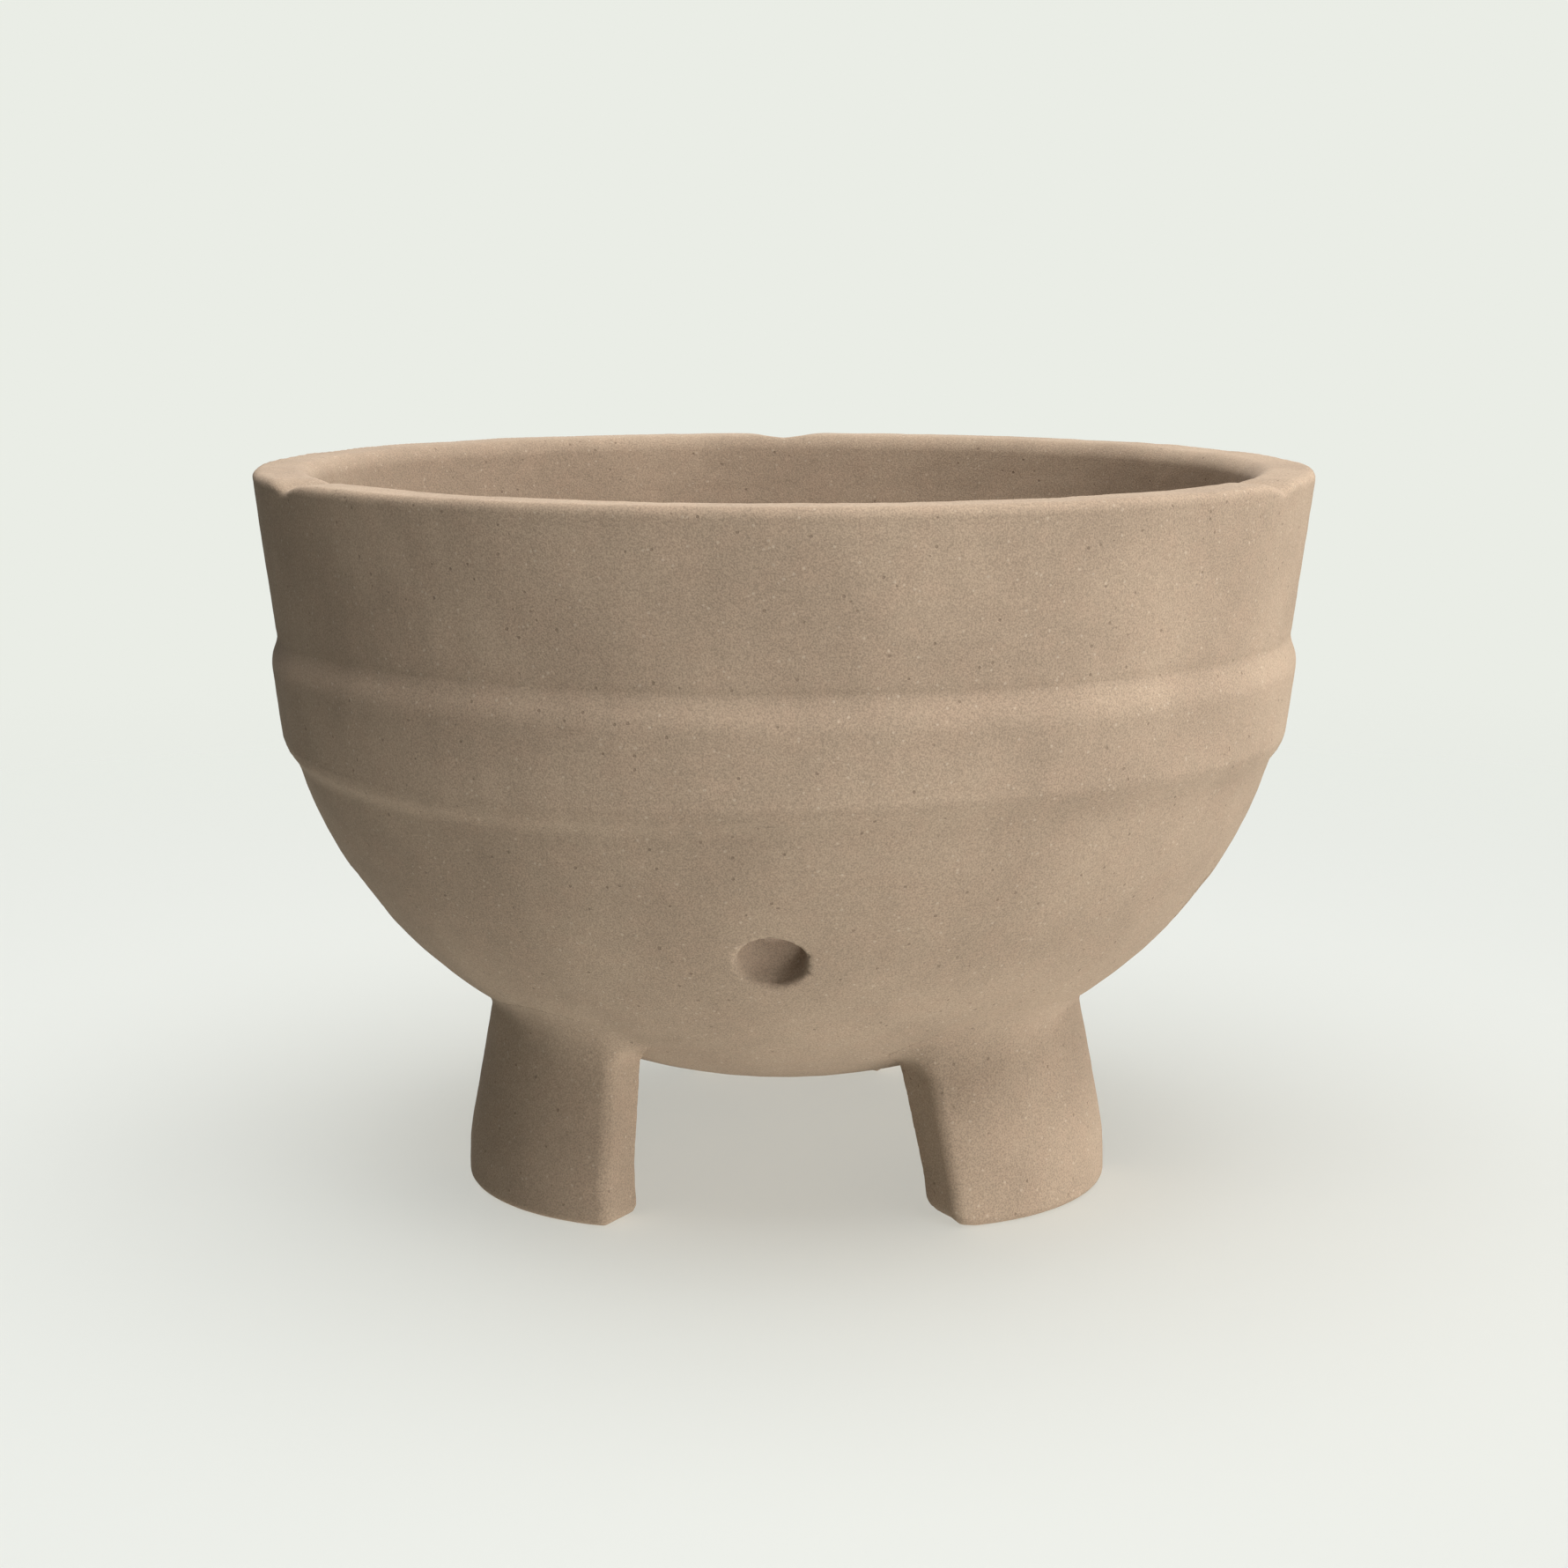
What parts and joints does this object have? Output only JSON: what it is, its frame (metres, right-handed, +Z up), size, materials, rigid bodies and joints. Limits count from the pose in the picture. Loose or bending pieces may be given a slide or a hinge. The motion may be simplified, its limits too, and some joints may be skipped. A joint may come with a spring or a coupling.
{
  "type": "molcajete",
  "caption": "Round stoneware grinding bowl with a girth band, drain notches in its rounded lip, angled vent holes through the shell and short curved wall legs",
  "frame": {"origin": "on the ground plane, under the middle of the bowl, halfway across the rim", "axes": "+Z up, the bowl's own axis; front of the vessel towards -Y; +X to the right seen from the front"},
  "size_m": [0.2, 0.2, 0.1344],
  "materials": {
    "clay": "matte, gritty, unglazed",
    "clay_wall": "matte, gritty, unglazed",
    "clay_band": "matte, gritty, unglazed",
    "clay_leg": "matte, gritty, unglazed"
  },
  "bodies": {
    "root": {"lower_bowl": "clay", "rim_wall": "clay_wall", "girth_band": "clay_band", "leg_front_left": "clay_leg", "leg_front_right": "clay_leg", "leg_back": "clay_leg"}
  },
  "joints": []
}
